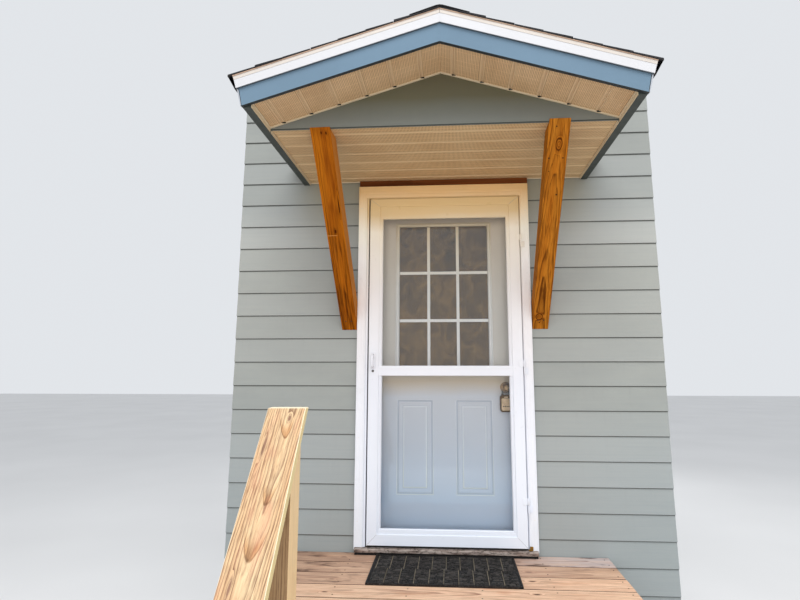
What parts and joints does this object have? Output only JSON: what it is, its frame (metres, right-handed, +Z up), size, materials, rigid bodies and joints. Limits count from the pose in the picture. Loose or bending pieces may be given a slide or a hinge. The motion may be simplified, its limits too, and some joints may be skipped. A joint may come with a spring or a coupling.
{
  "type": "entrance porch",
  "caption": "Entrance porch: gabled canopy on timber braces over a house door and storm door, with its wall bay, timber landing, steps and handrail.",
  "frame": {"origin": "on the ground under the wall's sheathing plane, on the centreline of the door trim; the foundation's underside lies there", "axes": "+X to the right seen from outside, +Y into the house, +Z up"},
  "size_m": [2.5, 1.9632, 3.4],
  "materials": {
    "siding_paint": "painted lapped boards, satin, grey-green",
    "wall_inside": "flat painted board",
    "concrete": "parged, rough",
    "white_trim": "satin white paint",
    "storm_white": "baked white enamel on aluminium",
    "storm_pane": "clear",
    "entry_paint": "satin pale blue-grey paint on steel",
    "entry_pane": "clear double pane, dark room behind",
    "brass_hinge": "dull satin",
    "bronze": "aged bronze, rubbed edges",
    "sill_metal": "weathered mill finish",
    "red_brown_wood": "dark red-brown stain",
    "shingle": "granulated asphalt, rough",
    "roof_wood": "bare sheathing",
    "flashing": "dark painted sheet",
    "blue_paint": "satin blue-grey paint on wood",
    "soffit_vinyl": "matt beige vinyl, finely perforated",
    "brace_wood": "orange-brown semi-transparent stain, knots",
    "pine": "new dry pine, strong grain",
    "deck_pine": "dry pine boards, weathered near the wall",
    "frame_pine": "rough sawn, weathered",
    "mat_rubber": "moulded grid pattern, matt"
  },
  "bodies": {
    "root": {"siding_beside_door": "siding_paint", "siding_at_door": "siding_paint", "wall_beside_door": "wall_inside", "wall_at_door": "wall_inside", "foundation": "concrete", "door_frame": "white_trim", "door_stops": "white_trim", "door_trim": "white_trim", "interior_casing": "white_trim", "rake_trim": "white_trim", "eave_trim": "white_trim", "storm_frame": "storm_white", "jamb_hinges": "brass_hinge", "door_sill": "sill_metal", "head_board": "red_brown_wood", "shingles": "shingle", "ridge_cap": "shingle", "roof_deck": "roof_wood", "roof_flashing": "flashing", "rake_fascia": "blue_paint", "eave_fascias": "blue_paint", "gable_panel": "blue_paint", "rake_soffit": "soffit_vinyl", "ceiling_soffit": "soffit_vinyl", "braces": "brace_wood", "newel_posts": "pine", "rail_boards": "pine", "deck_boards": "deck_pine", "stair_treads": "deck_pine", "deck_rim": "frame_pine", "deck_joists": "frame_pine", "deck_posts": "frame_pine", "stair_header": "frame_pine", "stair_stringers": "frame_pine", "doormat": "mat_rubber"},
    "storm_door": {"storm_leaf": "storm_white", "storm_glass": "storm_pane", "storm_handle": "storm_white"},
    "entry_door": {"entry_slab": "entry_paint", "entry_lite_frame": "white_trim", "entry_glass": "entry_pane", "entry_hinges": "brass_hinge", "knob_roses": "bronze", "lockbox": "bronze"},
    "knob_set": {"entry_knobs": "bronze"}
  },
  "joints": [
    {"name": "storm_door_swing", "type": "hinge", "parent": "root", "child": "storm_door", "pos_m": [0.456, -0.066, 0.9], "axis": [0, 0, 1], "range_deg": [0, 90]},
    {"name": "entry_door_swing", "type": "hinge", "parent": "root", "child": "entry_door", "pos_m": [-0.46, 0.114, 0.9], "axis": [0, 0, 1], "range_deg": [0, 90]},
    {"name": "knob_turn", "type": "hinge", "parent": "entry_door", "child": "knob_set", "pos_m": [0.36, 0.064, 1.514], "axis": [0, -1, 0], "range_deg": [-60, 60], "stiffness_Nm_per_rad": 0.4}
  ]
}
